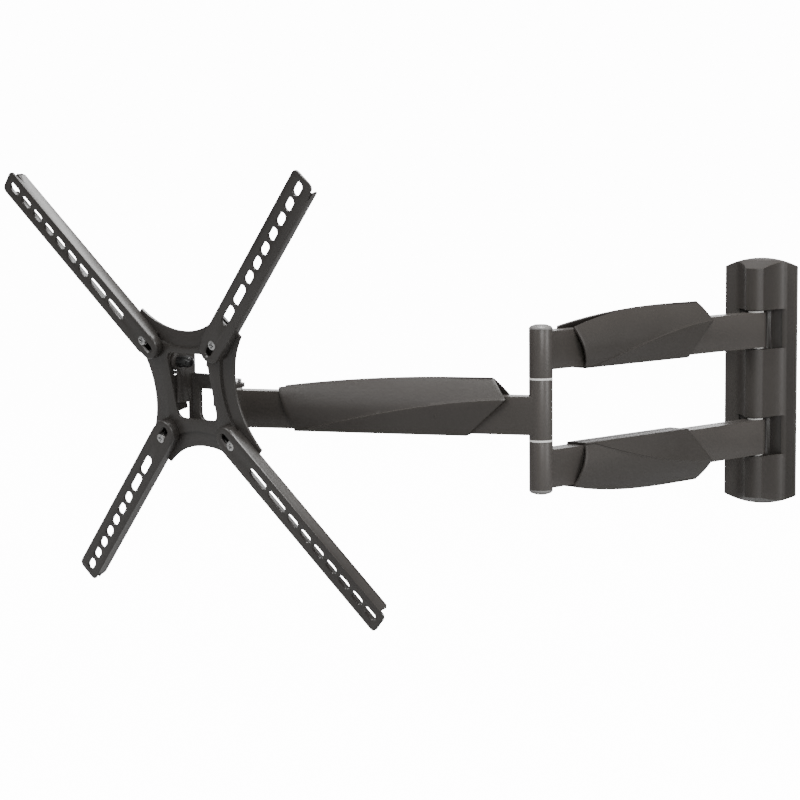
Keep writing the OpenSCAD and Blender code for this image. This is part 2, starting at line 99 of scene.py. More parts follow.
room = {
    "floorSize": 40.0,
    "floorBelow": 0.06,  # under the lowest point of the mount
    "tone": (0.3, 0.3, 0.3),
    "rough": 0.9,
    "floorGlow": 14.0,  # the floor and backdrop look pale without lighting the mount from below
    "backdrop": 14.0,
    "fill": 0.34,
}


def makeFloorPaint():
    paint = bpy.data.materials.new("floorPaint")
    paint.use_nodes = True
    tree = paint.node_tree
    shader = tree.nodes["Principled BSDF"]
    shader.inputs["Base Color"].default_value = (*room["tone"], 1)
    shader.inputs["Roughness"].default_value = room["rough"]
    shader.inputs["Emission Color"].default_value = (1, 1, 1, 1)
    path = tree.nodes.new("ShaderNodeLightPath")
    glow = tree.nodes.new("ShaderNodeMath")
    glow.operation = "MULTIPLY"
    glow.inputs[1].default_value = room["floorGlow"]
    tree.links.new(path.outputs["Is Camera Ray"], glow.inputs[0])
    tree.links.new(glow.outputs[0], shader.inputs["Emission Strength"])
    return paint


def makeRoom():
    bpy.ops.object.select_all(action="DESELECT")
    low = cadBox[0].z - room["floorBelow"]
    bpy.ops.mesh.primitive_plane_add(size=room["floorSize"], location=(0, 0, low))
    floor = bpy.context.object
    floor.name = "floor"
    floor.data.materials.append(makeFloorPaint())
    world = bpy.data.worlds.new("studio")
    bpy.context.scene.world = world
    world.use_nodes = True
    tree = world.node_tree
    background = tree.nodes["Background"]
    background.inputs["Color"].default_value = (1, 1, 1, 1)
    path = tree.nodes.new("ShaderNodeLightPath")
    level = tree.nodes.new("ShaderNodeMapRange")
    level.inputs["To Min"].default_value = room["fill"]
    level.inputs["To Max"].default_value = room["backdrop"]
    tree.links.new(path.outputs["Is Camera Ray"], level.inputs["Value"])
    tree.links.new(level.outputs["Result"], background.inputs["Strength"])
    for name, (place, aim, size, power) in lamps.items():
        data = bpy.data.lights.new(name, "AREA")
        data.shape = "RECTANGLE"
        data.size, data.size_y = size
        data.energy = power
        lamp = bpy.data.objects.new(name, data)
        bpy.context.scene.collection.objects.link(lamp)
        lamp.location = place
        lamp.visible_camera = False
        aimed = (Vector(aim) - Vector(place)).to_track_quat("-Z", "Y")
        lamp.rotation_euler = aimed.to_euler()


# shared effects

grainLook = {"detail": 3.0, "rough": 0.55, "cellShare": 0.4, "low": 0.35, "high": 0.65}
driftLook = {"detail": 4.0, "low": 0.3, "high": 0.7}
scuffLook = {"detail": 2.0, "low": 0.58, "high": 0.8}


def newSocket(group, name, inOut, kind, value=None):
    socket = group.interface.new_socket(name=name, in_out=inOut, socket_type=kind)
    if value is not None:
        socket.default_value = value


def spreadNode(nodes, look):
    spread = nodes.new("ShaderNodeMapRange")
    spread.inputs["From Min"].default_value = look["low"]
    spread.inputs["From Max"].default_value = look["high"]
    return spread


def makeGrainGroup():
    # fine pebbled surface of powder coat or moulded plastic: a height and a mask
    group = bpy.data.node_groups.new("surfaceGrain", "ShaderNodeTree")
    newSocket(group, "Scale", "INPUT", "NodeSocketFloat", 900.0)
    newSocket(group, "Height", "OUTPUT", "NodeSocketFloat")
    newSocket(group, "Mask", "OUTPUT", "NodeSocketFloat")
    nodes, links = group.nodes, group.links
    source = nodes.new("NodeGroupInput")
    result = nodes.new("NodeGroupOutput")
    place = nodes.new("ShaderNodeTexCoord")
    pebble = nodes.new("ShaderNodeTexNoise")
    pebble.inputs["Detail"].default_value = grainLook["detail"]
    pebble.inputs["Roughness"].default_value = grainLook["rough"]
    cells = nodes.new("ShaderNodeTexVoronoi")
    cells.feature = "SMOOTH_F1"
    blend = nodes.new("ShaderNodeMath")
    blend.operation = "MULTIPLY_ADD"
    blend.inputs[1].default_value = grainLook["cellShare"]
    spread = spreadNode(nodes, grainLook)
    links.new(place.outputs["Object"], pebble.inputs["Vector"])
    links.new(place.outputs["Object"], cells.inputs["Vector"])
    links.new(source.outputs["Scale"], pebble.inputs["Scale"])
    links.new(source.outputs["Scale"], cells.inputs["Scale"])
    links.new(cells.outputs["Distance"], blend.inputs[0])
    links.new(pebble.outputs["Fac"], blend.inputs[2])
    links.new(pebble.outputs["Fac"], spread.inputs["Value"])
    links.new(blend.outputs[0], result.inputs["Height"])
    links.new(spread.outputs["Result"], result.inputs["Mask"])
    return group


def makeDriftGroup():
    # slow change of tone over a piece, between two colours
    group = bpy.data.node_groups.new("toneDrift", "ShaderNodeTree")
    newSocket(group, "Scale", "INPUT", "NodeSocketFloat", 12.0)
    newSocket(group, "Deep", "INPUT", "NodeSocketColor", (0.03, 0.03, 0.03, 1))
    newSocket(group, "Pale", "INPUT", "NodeSocketColor", (0.05, 0.05, 0.05, 1))
    newSocket(group, "Color", "OUTPUT", "NodeSocketColor")
    newSocket(group, "Value", "OUTPUT", "NodeSocketFloat")
    nodes, links = group.nodes, group.links
    source = nodes.new("NodeGroupInput")
    result = nodes.new("NodeGroupOutput")
    place = nodes.new("ShaderNodeTexCoord")
    cloud = nodes.new("ShaderNodeTexNoise")
    cloud.inputs["Detail"].default_value = driftLook["detail"]
    spread = spreadNode(nodes, driftLook)
    mix = nodes.new("ShaderNodeMix")
    mix.data_type = "RGBA"
    links.new(place.outputs["Object"], cloud.inputs["Vector"])
    links.new(source.outputs["Scale"], cloud.inputs["Scale"])
    links.new(cloud.outputs["Fac"], spread.inputs["Value"])
    links.new(spread.outputs["Result"], mix.inputs["Factor"])
    links.new(source.outputs["Deep"], mix.inputs["A"])
    links.new(source.outputs["Pale"], mix.inputs["B"])
    links.new(mix.outputs["Result"], result.inputs["Color"])
    links.new(spread.outputs["Result"], result.inputs["Value"])
    return group


def makeScuffGroup():
    # faint straight hairlines, as from handling and fitting
    group = bpy.data.node_groups.new("hairlines", "ShaderNodeTree")
    newSocket(group, "Stretch", "INPUT", "NodeSocketVector", (1.0, 1.0, 1.0))
    newSocket(group, "Scale", "INPUT", "NodeSocketFloat", 60.0)
    newSocket(group, "Mask", "OUTPUT", "NodeSocketFloat")
    nodes, links = group.nodes, group.links
    source = nodes.new("NodeGroupInput")
    result = nodes.new("NodeGroupOutput")
    place = nodes.new("ShaderNodeTexCoord")
    mapping = nodes.new("ShaderNodeMapping")
    lines = nodes.new("ShaderNodeTexNoise")
    lines.inputs["Detail"].default_value = scuffLook["detail"]
    spread = spreadNode(nodes, scuffLook)
    links.new(place.outputs["Object"], mapping.inputs["Vector"])
    links.new(source.outputs["Stretch"], mapping.inputs["Scale"])
    links.new(mapping.outputs["Vector"], lines.inputs["Vector"])
    links.new(source.outputs["Scale"], lines.inputs["Scale"])
    links.new(lines.outputs["Fac"], spread.inputs["Value"])
    links.new(spread.outputs["Result"], result.inputs["Mask"])
    return group


grainGroup = makeGrainGroup()
driftGroup = makeDriftGroup()
scuffGroup = makeScuffGroup()

# finishes: deep and pale tones, metal, roughness and its spread, grain size and depth, coat,
# and how much closer the hairlines lie along each axis
finishes = {
    "armCoat": {
        "deep": (0.050, 0.044, 0.039), "pale": (0.060, 0.053, 0.048), "metal": 0.0, "rough": 0.42,
        "spread": 0.08, "grain": 1400.0, "depth": 0.10, "coat": 0.15, "lines": (1.0, 1.0, 18.0)},
    "plateCoat": {
        "deep": (0.030, 0.0265, 0.024), "pale": (0.038, 0.034, 0.031), "metal": 0.0, "rough": 0.36,
        "spread": 0.08, "grain": 1500.0, "depth": 0.10, "coat": 0.2, "lines": (1.0, 18.0, 1.0)},
    "coverPlastic": {
        "deep": (0.033, 0.0285, 0.025), "pale": (0.040, 0.035, 0.031), "metal": 0.0, "rough": 0.44,
        "spread": 0.06, "grain": 2200.0, "depth": 0.08, "coat": 0.0, "lines": (1.0, 1.0, 14.0)},
    "capPlastic": {
        "deep": (0.16, 0.155, 0.15), "pale": (0.21, 0.205, 0.20), "metal": 0.0, "rough": 0.38,
        "spread": 0.06, "grain": 1800.0, "depth": 0.06, "coat": 0.1, "lines": (1.0, 1.0, 10.0)},
    "darkScrew": {
        "deep": (0.030, 0.030, 0.030), "pale": (0.060, 0.060, 0.060), "metal": 0.7, "rough": 0.34,
        "spread": 0.10, "grain": 2400.0, "depth": 0.05, "coat": 0.0, "lines": (1.0, 12.0, 1.0)},
    "zinc": {
        "deep": (0.66, 0.66, 0.66), "pale": (0.82, 0.82, 0.81), "metal": 1.0, "rough": 0.30,
        "spread": 0.12, "grain": 2600.0, "depth": 0.04, "coat": 0.0, "lines": (1.0, 1.0, 20.0)},
    "rawSteel": {
        "deep": (0.34, 0.33, 0.32), "pale": (0.46, 0.45, 0.44), "metal": 1.0, "rough": 0.36,
        "spread": 0.14, "grain": 1600.0, "depth": 0.05, "coat": 0.0, "lines": (20.0, 1.0, 1.0)},
    "nylon": {
        "deep": (0.74, 0.73, 0.70), "pale": (0.84, 0.84, 0.82), "metal": 0.0, "rough": 0.46,
        "spread": 0.05, "grain": 1200.0, "depth": 0.05, "coat": 0.0, "lines": (1.0, 1.0, 6.0)},
}
allFinishes = {
    "coatRough": 0.3, "driftScale": 9.0, "speckle": 0.18, "scuffShare": 0.35, "bump": 0.0004,
}


def makeFinish(name):
    spec = finishes[name]
    paint = bpy.data.materials.new(name)
    paint.use_nodes = True
    nodes, links = paint.node_tree.nodes, paint.node_tree.links
    shader = nodes["Principled BSDF"]
    shader.inputs["Metallic"].default_value = spec["metal"]
    shader.inputs["Coat Weight"].default_value = spec["coat"]
    shader.inputs["Coat Roughness"].default_value = allFinishes["coatRough"]
    drift = nodes.new("ShaderNodeGroup")
    drift.node_tree = driftGroup
    drift.inputs["Scale"].default_value = allFinishes["driftScale"]
    drift.inputs["Deep"].default_value = (*spec["deep"], 1)
    drift.inputs["Pale"].default_value = (*spec["pale"], 1)
    grain = nodes.new("ShaderNodeGroup")
    grain.node_tree = grainGroup
    grain.inputs["Scale"].default_value = spec["grain"]
    scuff = nodes.new("ShaderNodeGroup")
    scuff.node_tree = scuffGroup
    scuff.inputs["Stretch"].default_value = spec["lines"]
    speckle = nodes.new("ShaderNodeMix")
    speckle.data_type = "RGBA"
    speckle.blend_type = "MULTIPLY"
    speckle.inputs["Factor"].default_value = allFinishes["speckle"]
    links.new(drift.outputs["Color"], speckle.inputs["A"])
    tone = nodes.new("ShaderNodeCombineColor")
    for channel in ("Red", "Green", "Blue"):
        links.new(grain.outputs["Mask"], tone.inputs[channel])
    links.new(tone.outputs["Color"], speckle.inputs["B"])
    links.new(speckle.outputs["Result"], shader.inputs["Base Color"])
    gloss = nodes.new("ShaderNodeMapRange")
    gloss.inputs["To Min"].default_value = spec["rough"] - spec["spread"]
    gloss.inputs["To Max"].default_value = spec["rough"] + spec["spread"]
    wear = nodes.new("ShaderNodeMath")
    wear.operation = "MULTIPLY_ADD"
    wear.inputs[1].default_value = allFinishes["scuffShare"]
    links.new(scuff.outputs["Mask"], wear.inputs[0])
    links.new(drift.outputs["Value"], wear.inputs[2])
    links.new(wear.outputs[0], gloss.inputs["Value"])
    links.new(gloss.outputs["Result"], shader.inputs["Roughness"])
    bump = nodes.new("ShaderNodeBump")
    bump.inputs["Strength"].default_value = spec["depth"]
    bump.inputs["Distance"].default_value = allFinishes["bump"]
    links.new(grain.outputs["Height"], bump.inputs["Height"])
    links.new(bump.outputs["Normal"], shader.inputs["Normal"])
    return paint


paints = {name: makeFinish(name) for name in finishes}
print("finishes made:", len(paints))

# modelling helpers; sizes given to them are in mm and angles in degrees

sameSpot = 0.005  # points closer than this are one
sameFlat = 0.8  # faces turned less than this are one
sharpEdge = 35.0  # edges turned more than this are eased


def startFresh(piece=None):
    if bpy.context.mode != "OBJECT":
        bpy.ops.object.mode_set(mode="OBJECT")
    bpy.ops.object.select_all(action="DESELECT")
    if piece is not None:
        piece.select_set(True)
        bpy.context.view_layer.objects.active = piece


def editPiece(piece):
    startFresh(piece)
    bpy.ops.object.mode_set(mode="EDIT")
    bpy.ops.mesh.select_all(action="DESELECT")


def pick(kind, test):
    # selects the vertices, edges or faces whose middle passes the test
    data = bpy.context.edit_object.data
    bpy.ops.mesh.select_mode(type=kind[:-1].upper())
    bpy.ops.mesh.select_all(action="DESELECT")
    mesh = bmesh.from_edit_mesh(data)
    for element in getattr(mesh, kind):
        if kind == "verts":
            element.select_set(test(element.co))
        elif kind == "edges":
            element.select_set(test((element.verts[0].co + element.verts[1].co) / 2, element))
        else:
            element.select_set(test(element.calc_center_median(), element.normal))
    mesh.select_flush_mode()
    bmesh.update_edit_mesh(data)


def finishWith(piece, kind, **settings):
    modifier = piece.modifiers.new(kind.lower(), kind)
    for key, value in settings.items():
        setattr(modifier, key, value)
    startFresh(piece)
    bpy.ops.object.modifier_apply(modifier=modifier.name)


def editAll(piece):
    editPiece(piece)
    bpy.ops.mesh.select_all(action="SELECT")


def turnFaces(piece):
    editAll(piece)
    bpy.ops.mesh.flip_normals()
    bpy.ops.object.mode_set(mode="OBJECT")


def mergeClose(piece, distance=0.05):
    piece.data.update()
    editAll(piece)
    bpy.ops.mesh.remove_doubles(threshold=distance * mm)
    bpy.ops.object.mode_set(mode="OBJECT")


def faceTowards(piece, outward):
    # an open shell's faces point to its outer side before it gets its thickness
    piece.data.update()
    total = sum((face.normal * face.area for face in piece.data.polygons), Vector())
    if total.dot(outward) < 0:
        turnFaces(piece)


def applyPlace():
    bpy.ops.object.transform_apply(location=True, rotation=True, scale=True)


def addBlock(place, size):
    # stock for a rib or a cutter, never a finished piece
    startFresh()
    bpy.ops.mesh.primitive_cube_add(size=1, location=[x * mm for x in place])
    bpy.context.object.scale = [x * mm for x in size]
    applyPlace()
    return bpy.context.object


def addGrid(columns, rows):
    # a flat sheet whose points are then laid out by row and column
    startFresh()
    bpy.ops.mesh.primitive_grid_add(x_subdivisions=columns, y_subdivisions=rows, size=1)
    return bpy.context.object


def soften(piece, width, segments=2):
    finishWith(piece, "BEVEL", width=width * mm, segments=segments, limit_method="ANGLE",
               angle_limit=math.radians(sharpEdge), use_clamp_overlap=True,
               miter_outer="MITER_ARC")


def cutWith(piece, cutter):
    finishWith(piece, "BOOLEAN", object=cutter, operation="DIFFERENCE", solver="EXACT")
    bpy.data.objects.remove(cutter)


def settle(piece, name, place, body, finish, nodes, angle=40.0):
    # puts a finished piece in its place in the mount, with its finish, its body and its CAD nodes
    piece.name = piece.data.name = name
    piece.matrix_world = place @ piece.matrix_world
    startFresh(piece)
    applyPlace()
    shape = bmesh.new()
    shape.from_mesh(piece.data)
    inside = shape.calc_volume(signed=True) < 0
    shape.free()
    if inside:
        turnFaces(piece)
    bpy.ops.object.shade_smooth_by_angle(angle=math.radians(angle))
    piece.data.materials.clear()
    piece.data.materials.append(paints[finish])
    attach(piece, body)
    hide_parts(*nodes)


def copyPiece(piece):
    twin = bpy.data.objects.new("copy", piece.data.copy())
    bpy.context.scene.collection.objects.link(twin)
    return twin


def softCopy(node, width, segments):
    # a CAD node's own shape with its edges eased
    piece = copyPiece(frame["nodes"][node])
    editAll(piece)
    bpy.ops.mesh.remove_doubles(threshold=sameSpot * mm)
    bpy.ops.mesh.dissolve_limited(angle_limit=math.radians(sameFlat))
    bpy.ops.object.mode_set(mode="OBJECT")
    soften(piece, width, segments)
    return piece


# the frames that the pieces are modelled in, from the joints

joints = {joint["name"]: joint for joint in frame["joints"]}
wallPivot = Vector(joints["wall_swivel"]["pos_m"])
elbowPivot = Vector(joints["elbow"]["pos_m"])
headPivot = Vector(joints["head_swivel"]["pos_m"])
tiltPivot = Vector(joints["tilt"]["pos_m"])
skyward = Vector((0, 0, 1))


def frameAt(origin, along, across, normal):
    axes = Matrix((along, across, normal)).transposed()
    return Matrix.Translation(origin) @ axes.to_4x4()


def armFrame(start, end, height):
    along = end - start
    along.z = 0
    along.normalize()
    origin = Vector((start.x, start.y, height))
    return frameAt(origin, along, skyward.cross(along), skyward)


mount = {"armHeight": 56 * mm, "secondHeight": -5.5 * mm, "plateDrop": 24.5 * mm}
upperFrame = armFrame(wallPivot, elbowPivot, mount["armHeight"])
lowerFrame = armFrame(wallPivot, elbowPivot, -mount["armHeight"])
secondFrame = armFrame(elbowPivot, headPivot, mount["secondHeight"])
plateRight = Vector(joints["tilt"]["axis"])
plateUp = (Vector(joints["slide_tr"]["axis"]) - Vector(joints["slide_br"]["axis"])).normalized()
plateOut = plateRight.cross(plateUp)
plateCentre = tiltPivot - plateUp * mount["plateDrop"]
corners = ("tl", "tr", "bl", "br")


def diagonalFrame(side):
    along = Vector(joints["slide_" + side]["axis"])
    return frameAt(plateCentre, along, plateOut.cross(along), plateOut)


asItIs = Matrix.Identity(4)
mirrorY = Matrix.Scale(-1, 4, (0, 1, 0))
mirrorZ = Matrix.Scale(-1, 4, (0, 0, 1))
print("frames set")

# arm covers: each is two thin halves, one section curve cut by the cover's own outline

sleeve = {
    # section: half width at the middle, height where the halves meet, and how full it is
    "halfWidth": 17.0, "reach": 35.0, "power": 1.9,
    # heights of the pointed end, the top and the bottom edge, and half width at the bottom
    "tip": 15.5, "top": 34.8, "low": -20.3, "flank": 12.15, "underFlat": 5.0,
    # crease: step outwards and down, how it falls, and how far above the bottom it ends
    "ledge": 0.9, "drop": 0.7, "creasePower": 1.6, "creaseFoot": 1.6, "footEase": 0.7,
    "seam": 0.25, "wall": 1.9, "rim": 0.35, "rimAngle": 50.0, "smoothAngle": 35.0,
    # ends: level part of the top, slant of the open end, and of the lower pointed end
    "topLevel": 50.0, "endTop": 20.5, "endSlant": 16.5, "lowSlant": 1.08, "cornerPower": 6,
    "columns": 48, "upperRows": 16, "lowerRows": 7, "underRows": 4,
    "padPlace": (12.6, 2.0), "padSize": (2.0, 5.1, 10.0), "padEase": 0.3,
}
firstSleeve = {
    "start": 90.0, "length": 210.0, "creaseEnd": 182.0, "topDrop": 14.3, "topPower": 2.3,
    "topSlant": 0.5, "corner": 1.5, "pads": (66.0, 164.0),
}
secondSleeve = {
    "start": 31.0, "length": 227.0, "creaseEnd": 205.0, "topDrop": 12.5, "topPower": 1.9,
    "topSlant": 0.74, "corner": 1.0, "pads": (68.0, 177.0),
}


def sectionWidth(height):
    return sleeve["halfWidth"] * (1 - (abs(height) / sleeve["reach"]) ** sleeve["power"])


def creaseHeight(spec, along):
    fall = min(max(along, 0.0) / spec["creaseEnd"], 1.0) ** sleeve["creasePower"]
    return sleeve["tip"] - (sleeve["tip"] - sleeve["low"] - sleeve["creaseFoot"]) * fall


def topHeight(spec, along):
    run = max(along - sleeve["topLevel"], 0.0) / (spec["length"] - sleeve["topLevel"])
    return sleeve["top"] - spec["topDrop"] * run ** spec["topPower"]


def startEdge(spec, height):
    rise = height - sleeve["tip"]
    if rise > 0:
        share = rise / (sleeve["top"] - sleeve["tip"])
        return rise * spec["topSlant"] + spec["corner"] * share ** sleeve["cornerPower"]
    return -rise * sleeve["lowSlant"]


def endEdge(spec, height):
    top = sleeve["endTop"]
    return spec["length"] - sleeve["endSlant"] * (top - min(height, top)) / (top - sleeve["low"])


def sleevePoint(spec, row, share):
    # rows count down from the top seam: curved upper face, flat lower face, then the underside
    upper, lower, foot, flank = (sleeve[k] for k in ("upperRows", "lowerRows", "low", "flank"))
    # the rounded foot and the underside: height above the foot and half width
    under = ((0.2, flank - 0.8), (0.0, flank - 1.8), (0.0, sleeve["underFlat"]),
             (0.0, sleeve["seam"]))
    along = share * spec["length"]
    for _ in range(5):  # height and outline depend on each other, so the point is closed in on
        crease = creaseHeight(spec, along)
        if row <= upper:
            rise = topHeight(spec, along) - crease
            height = crease + rise * math.cos(row / upper * math.pi / 2)
            width = max(sectionWidth(height), sleeve["seam"])
        elif row <= upper + lower:
            down = (row - upper - 1) / (lower - 1)
            start = crease - sleeve["drop"]
            height = start + (foot + sleeve["footEase"] - start) * down
            ridge = max(sectionWidth(crease), flank - 0.2) + sleeve["ledge"]
            width = ridge + (flank - ridge) * down
        else:
            lift, width = under[row - upper - lower - 1]
            height = foot + lift
        first, last = startEdge(spec, height), endEdge(spec, height)
        along = first + (last - first) * share
    return Vector((along, width, height)) * mm


def makeSleeveHalf(spec):
    rows = 1 + sleeve["upperRows"] + sleeve["lowerRows"] + sleeve["underRows"]
    piece = addGrid(sleeve["columns"], rows - 1)
    for vertex in piece.data.vertices:
        share = vertex.co.x + 0.5
        row = round((0.5 - vertex.co.y) * (rows - 1))
        vertex.co = sleevePoint(spec, row, share)
    mergeClose(piece)
    faceTowards(piece, Vector((0, 1, 0)))
    finishWith(piece, "SOLIDIFY", thickness=sleeve["wall"] * mm, offset=-1.0,
               use_even_offset=True, use_quality_normals=True)
    finishWith(piece, "BEVEL", width=sleeve["rim"] * mm, segments=2, limit_method="ANGLE",
               angle_limit=math.radians(sleeve["rimAngle"]))
    return piece


def addPads(piece, spec):
    # two ribs inside, between the shell and the tube
    for along in spec["pads"]:
        pad = addBlock((along, *sleeve["padPlace"]), sleeve["padSize"])
        soften(pad, sleeve["padEase"])
        pad.select_set(True)
        piece.select_set(True)
        bpy.context.view_layer.objects.active = piece
        bpy.ops.object.join()


def makeSleeves():
    firstPlaces = (("upper", upperFrame), ("lower", lowerFrame @ mirrorZ))
    secondPlaces = (("second", secondFrame),)
    for spec, body, places in ((firstSleeve, "first_stage", firstPlaces),
                               (secondSleeve, "second_stage", secondPlaces)):
        half = makeSleeveHalf(spec)
        addPads(half, spec)
        slide = Matrix.Translation((spec["start"] * mm, 0, 0))
        for name, place in places:
            for side, flip in (("front", asItIs), ("back", mirrorY)):
                settle(copyPiece(half), name + "Sleeve" + side.title(), place @ slide @ flip, body,
                       "coverPlastic", (name + "_cover_" + side,), sleeve["smoothAngle"])
        bpy.data.objects.remove(half)


makeSleeves()
print("arm covers made")

# wall cover: flat flanks, a bell between them with sloping ends, and two windows

cover = {
    # half widths of the cover, of the bell's foot and of its front, and the front's crown
    "halfWidth": 38.0, "bellBase": 27.5, "bellFront": 9.0, "crown": 2.4, "curve": 1.7,
    "depth": 38.0, "skin": 2.2, "wall": 2.1, "back": 3.0,
    "sideHeight": 121.0, "rise": 9.0, "endFall": 3.4, "edge": 0.6, "smoothAngle": 30.0,
    "flankAt": (37.2, 34.0, 30.5, 28.3), "slopeSteps": 14, "frontSteps": 6,
    "endRows": 7, "middleRows": 24, "shoulderRun": 0.5, "shoulderShare": 0.01,
    "windowAt": 56.0, "windowHeight": 41.0, "windowDepth": 49.0, "windowMiddle": -30.0,
    "windowInset": 0.4,
}


def archHeight(across):
    half, rise = cover["halfWidth"], cover["rise"]
    radius = (half * half + rise * rise) / (2 * rise)
    return cover["sideHeight"] + rise - radius + math.sqrt(radius * radius - across * across)


def bellDepth(across):
    flat = cover["back"] + cover["skin"]
    if abs(across) >= cover["bellBase"]:
        return flat
    share = min((cover["bellBase"] - abs(across)) / (cover["bellBase"] - cover["bellFront"]), 1.0)
    crown = cover["crown"] * (1 - min(abs(across) / cover["bellFront"], 1.0) ** 2)
    return flat + (cover["depth"] - flat - cover["crown"]) * share ** cover["curve"] + crown


def coverColumns():
    base, front, steps = cover["bellBase"], cover["bellFront"], cover["slopeSteps"]
    left = [-cover["halfWidth"]] + [-x for x in cover["flankAt"]]
    left += [-base + (base - front) * k / steps for k in range(steps)]
    left += [-front + front * k / cover["frontSteps"] for k in range(cover["frontSteps"])]
    return left + [0.0] + [-x for x in reversed(left)]


def coverRow(across, row, rows):
    # rows: arched edge, its easing, the end slope, then the straight middle, and the same below
    flat = cover["back"] + cover["skin"]
    edge = archHeight(across) - cover["edge"]
    depth = bellDepth(across)
    shoulder = edge - (depth - flat) / cover["endFall"]
    slope = (0.25, 0.5, 0.75)
    heights = [edge + cover["edge"], edge, *(edge - (edge - shoulder) * x for x in slope),
               shoulder, shoulder - cover["shoulderRun"] - cover["shoulderShare"] * depth]
    depths = [flat - cover["edge"], flat, *(flat + (depth - flat) * x for x in slope),
              depth, depth]
    ends = cover["endRows"]
    if row < ends:
        return heights[row], depths[row]
    if row >= rows - ends:
        return -heights[rows - 1 - row], depths[rows - 1 - row]
    share = (row - ends + 1) / (rows - 2 * ends + 1)
    return heights[-1] * (1 - 2 * share), depth


def makeWallCover():
    columns = coverColumns()
    rows = 2 * cover["endRows"] + cover["middleRows"]
    piece = addGrid(len(columns) - 1, rows - 1)
    for vertex in piece.data.vertices:
        across = columns[round((vertex.co.x + 0.5) * (len(columns) - 1))]
        row = round((0.5 - vertex.co.y) * (rows - 1))
        height, depth = coverRow(across, row, rows)
        if abs(across) == cover["halfWidth"]:
            depth -= cover["edge"]
        vertex.co = Vector((across, -depth, height)) * mm
    mergeClose(piece)
    faceTowards(piece, Vector((0, -1, 0)))
    finishWith(piece, "SOLIDIFY", thickness=cover["wall"] * mm, offset=-1.0, use_even_offset=True)
    width = 2 * (cover["bellBase"] - cover["windowInset"])
    for side in (-1, 1):
        window = addBlock((0, cover["windowMiddle"], side * cover["windowAt"]),
                          (width, cover["windowDepth"], cover["windowHeight"]))
        cutWith(piece, window)
    settle(piece, "wallCover", asItIs, "wall_unit", "coverPlastic", ("wall_cover",),
           cover["smoothAngle"])


makeWallCover()
print("wall cover made")

# screen arms: a flat web with rounded bends, slots along it and a cupped inner end

channel = {
    "half": 13.0, "front": 21.5, "cupAt": 62.41, "cupSides": 48, "end": 296.84,
    "flangeBack": 9.5, "cupBack": 12.3, "cupRun": 2.0, "flangeShort": 7.0, "flangeLean": 3.0,
    "steel": 2.0, "bend": 2.6, "endCorner": 5.0, "ease": 0.3,
    # what is picked: how near counts as touching, depths below the web, start of the sides
    "near": 0.05, "belowWeb": 2.0, "belowCup": 10.0, "sideFrom": 2.1, "roundShare": 0.98,
    "outerSlot": 282.84, "slotStep": 19.3, "shortSlots": 7, "shortSlot": 15.3,
    "longSlot": 25.0, "longSlotsAt": (142.54, 113.54), "slotWidth": 8.5,
    "boltAt": 70.71, "travel": 11.0, "boltSlot": 3.4, "sunkRim": 4.9,
}
# the punch is turned a little, so no corner of it lies on the slot's own line
punch = {"sides": 36, "depth": 12.0, "over": 0.5, "turn": 0.001}


def stretched(cutter, middle, extra):
    # a round punch pulled into a slot of the same width
    startFresh(cutter)
    applyPlace()
    editPiece(cutter)
    for side in (1, -1):
        pick("verts", lambda at: (at.x - middle * mm) * side > 0.00001)
        bpy.ops.transform.translate(value=(side * extra / 2 * mm, 0, 0))
    bpy.ops.object.mode_set(mode="OBJECT")
    return cutter


def slotCutter(middle, length, radius):
    startFresh()
    bpy.ops.mesh.primitive_cylinder_add(
        vertices=punch["sides"], radius=radius * mm, depth=punch["depth"] * mm,
        rotation=(0, 0, punch["turn"]), location=(middle * mm, 0, channel["front"] * mm))
    return stretched(bpy.context.object, middle, length - 2 * radius)


def sunkCutter(middle, length, low, rim):
    startFresh()
    depth = rim - low + punch["over"]
    height = channel["front"] + punch["over"] - depth / 2
    bpy.ops.mesh.primitive_cone_add(
        vertices=punch["sides"], radius1=low * mm, radius2=(rim + punch["over"]) * mm,
        depth=depth * mm, rotation=(0, 0, punch["turn"]), location=(middle * mm, 0, height * mm))
    return stretched(bpy.context.object, middle, length)


def extrudeDown(distance):
    bpy.ops.mesh.extrude_region_move(TRANSFORM_OT_translate={"value": (0, 0, distance)})


